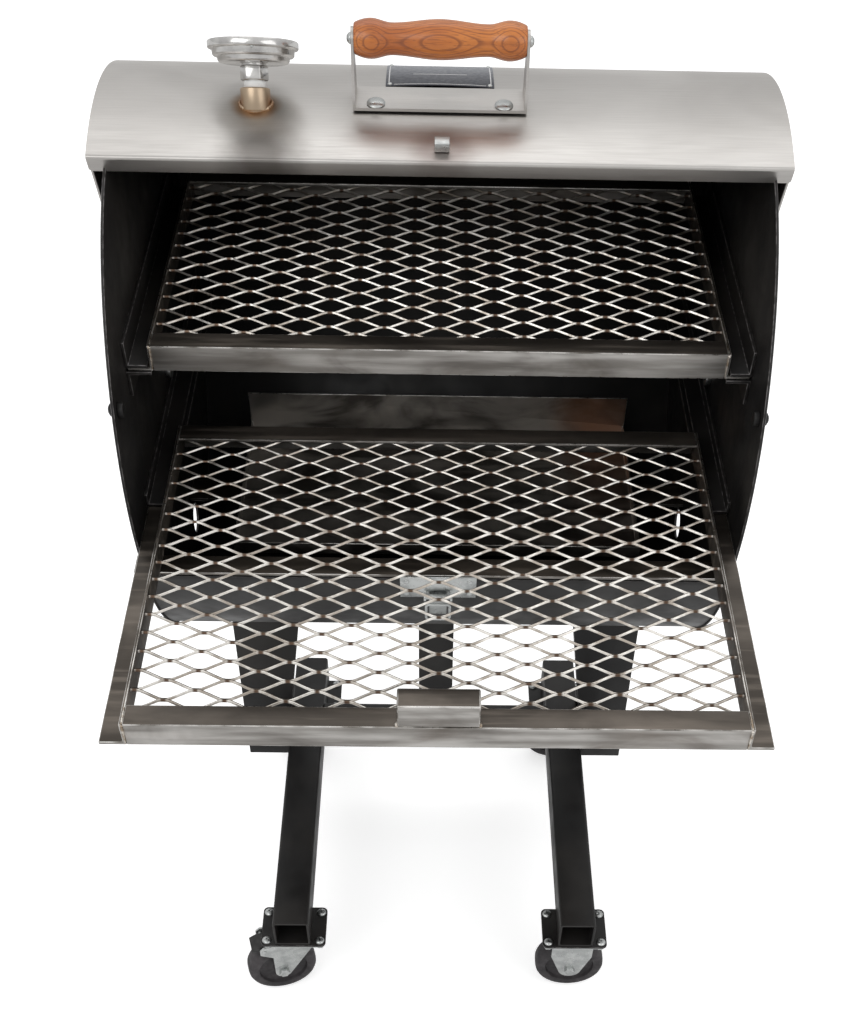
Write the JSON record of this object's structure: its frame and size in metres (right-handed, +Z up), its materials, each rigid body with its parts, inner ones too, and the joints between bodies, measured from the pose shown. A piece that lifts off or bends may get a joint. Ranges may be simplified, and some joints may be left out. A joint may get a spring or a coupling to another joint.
{
  "type": "barrel smoker grill on casters",
  "caption": "Front-opening barrel smoker with a roll-top lid, sliding expanded-metal grates and a wheeled tube cart.",
  "frame": {"origin": "on the floor under the middle of the object's bounding box, with the lid open and the lower grate pulled out", "axes": "+Z up, front towards -Y, +X to the right of someone facing the front; the barrel's axis runs along X"},
  "size_m": [0.6676, 0.841, 1.1648],
  "materials": {
    "black_paint": "satin black high-temperature paint with fine texture",
    "mill_steel": "hot-rolled steel with dark mill scale and ground edges",
    "grate_steel": "hot-rolled steel angle, mill scale with bright ground corners and welds",
    "expanded_steel": "bright bare expanded metal",
    "pan_steel": "bare sheet with heat tint",
    "stainless": "brushed stainless sheet",
    "tinted_steel": "bare steel tinted gold by welding heat",
    "gauge_steel": "polished stainless",
    "zinc": "bright zinc plating",
    "wheel_polymer": "dull black solid wheel",
    "black_steel": "black painted stamping",
    "oak": "oiled orange-brown turned hardwood",
    "plate_enamel": "dark blue-grey printed aluminium plate with a pale border",
    "dial_white": "matt white dial",
    "lens_glass": "clear flat glass"
  },
  "bodies": {
    "cart": {"left_wall": "black_paint", "right_wall": "black_paint", "barrel_shell": "black_paint", "front_sill": "mill_steel", "left_pivot_bolt": "zinc", "right_pivot_bolt": "zinc", "left_stop_bolt": "black_paint", "right_stop_bolt": "black_paint", "lower_runner_left": "black_paint", "lower_runner_right": "black_paint", "lower_retainer_left": "black_paint", "lower_retainer_right": "black_paint", "upper_runner_left": "black_paint", "upper_runner_right": "black_paint", "upper_retainer_left": "black_paint", "upper_retainer_right": "black_paint", "drip_pan": "pan_steel", "pan_rest": "mill_steel", "left_rail": "black_paint", "right_rail": "black_paint", "cross_tube": "black_paint", "drain_tube": "black_paint", "left_leg": "black_paint", "right_leg": "black_paint", "latch_base": "zinc", "front_left_caster_plate": "zinc", "rear_left_caster_plate": "zinc", "front_right_caster_frame": "zinc", "rear_right_caster_frame": "zinc"},
    "lid": {"lid_sheet": "stainless", "lid_end_left": "stainless", "lid_end_right": "stainless", "handle_bracket": "stainless", "handle_grip": "oak", "grip_rod": "zinc", "name_plate": "plate_enamel", "bracket_bolt_left": "zinc", "bracket_bolt_right": "zinc", "latch_keeper": "zinc", "gauge_coupling": "tinted_steel", "gauge_stem": "gauge_steel", "gauge_case": "gauge_steel", "gauge_dial": "dial_white", "gauge_lens": "lens_glass"},
    "gauge_pointer": {"gauge_pointer": "black_steel"},
    "lower_grate": {"lower_grate_frame": "grate_steel", "lower_grate_mesh": "expanded_steel", "lower_grate_handle": "grate_steel"},
    "upper_grate": {"upper_grate_frame": "grate_steel", "upper_grate_mesh": "expanded_steel"},
    "latch_lever": {"latch_lever": "zinc"},
    "latch_bail": {"latch_bail": "zinc"},
    "front_left_swivel": {"front_left_caster_fork": "zinc"},
    "front_left_wheel": {"front_left_wheel": "wheel_polymer"},
    "front_left_brake_pedal": {"front_left_brake_pedal": "black_steel"},
    "front_right_wheel": {"front_right_wheel": "wheel_polymer"},
    "rear_left_swivel": {"rear_left_caster_fork": "zinc"},
    "rear_left_wheel": {"rear_left_wheel": "wheel_polymer"},
    "rear_left_brake_pedal": {"rear_left_brake_pedal": "black_steel"},
    "rear_right_wheel": {"rear_right_wheel": "wheel_polymer"}
  },
  "joints": [
    {"name": "lid_hinge", "type": "hinge", "parent": "cart", "child": "lid", "pos_m": [0, 0.13255, 0.81], "axis": [1, 0, 0], "range_deg": [0, 81]},
    {"name": "gauge_pointer_turn", "type": "hinge", "parent": "lid", "child": "gauge_pointer", "pos_m": [-0.175, 0.09845, 1.09597], "axis": [0, -0.4226, -0.9063], "range_deg": [0, 300]},
    {"name": "lower_grate_slide", "type": "slide", "parent": "cart", "child": "lower_grate", "axis": [0, 1, 0], "range_m": [0, 0.357]},
    {"name": "upper_grate_slide", "type": "slide", "parent": "cart", "child": "upper_grate", "axis": [0, -1, 0], "range_m": [0, 0.038]},
    {"name": "latch_lever_hinge", "type": "hinge", "parent": "cart", "child": "latch_lever", "pos_m": [0, -0.13731, 0.7118], "axis": [-1, 0, 0], "range_deg": [0, 100]},
    {"name": "latch_bail_hinge", "type": "hinge", "parent": "latch_lever", "child": "latch_bail", "pos_m": [0, -0.13651, 0.70155], "axis": [-1, 0, 0], "range_deg": [-100, 0]},
    {"name": "front_left_swivel_turn", "type": "hinge", "parent": "cart", "child": "front_left_swivel", "pos_m": [-0.203, -0.16145, 0.1], "axis": [0, 0, 1], "continuous": true},
    {"name": "front_left_wheel_spin", "type": "hinge", "parent": "front_left_swivel", "child": "front_left_wheel", "pos_m": [-0.22811, -0.16818, 0.0508], "axis": [0.2588, -0.9659, 0], "continuous": true},
    {"name": "front_left_brake_press", "type": "hinge", "parent": "front_left_swivel", "child": "front_left_brake_pedal", "pos_m": [-0.2513, -0.17439, 0.1078], "axis": [0.2588, -0.9659, 0], "range_deg": [0, 12]},
    {"name": "front_right_wheel_spin", "type": "hinge", "parent": "cart", "child": "front_right_wheel", "pos_m": [0.203, -0.16145, 0.0508], "axis": [0, 1, 0], "continuous": true},
    {"name": "rear_left_swivel_turn", "type": "hinge", "parent": "cart", "child": "rear_left_swivel", "pos_m": [-0.203, 0.31255, 0.1], "axis": [0, 0, 1], "continuous": true},
    {"name": "rear_left_wheel_spin", "type": "hinge", "parent": "rear_left_swivel", "child": "rear_left_wheel", "pos_m": [-0.2289, 0.31482, 0.0508], "axis": [-0.0872, -0.9962, 0], "continuous": true},
    {"name": "rear_left_brake_press", "type": "hinge", "parent": "rear_left_swivel", "child": "rear_left_brake_pedal", "pos_m": [-0.25281, 0.31691, 0.1078], "axis": [-0.0872, -0.9962, 0], "range_deg": [0, 12]},
    {"name": "rear_right_wheel_spin", "type": "hinge", "parent": "cart", "child": "rear_right_wheel", "pos_m": [0.203, 0.31255, 0.0508], "axis": [0, 1, 0], "continuous": true}
  ],
  "couplings": [
    {"joint": "lower_grate_slide", "follows": "lid_hinge", "m_per_rad": 0.2525},
    {"joint": "latch_bail_hinge", "follows": "latch_lever_hinge", "ratio": -1}
  ]
}
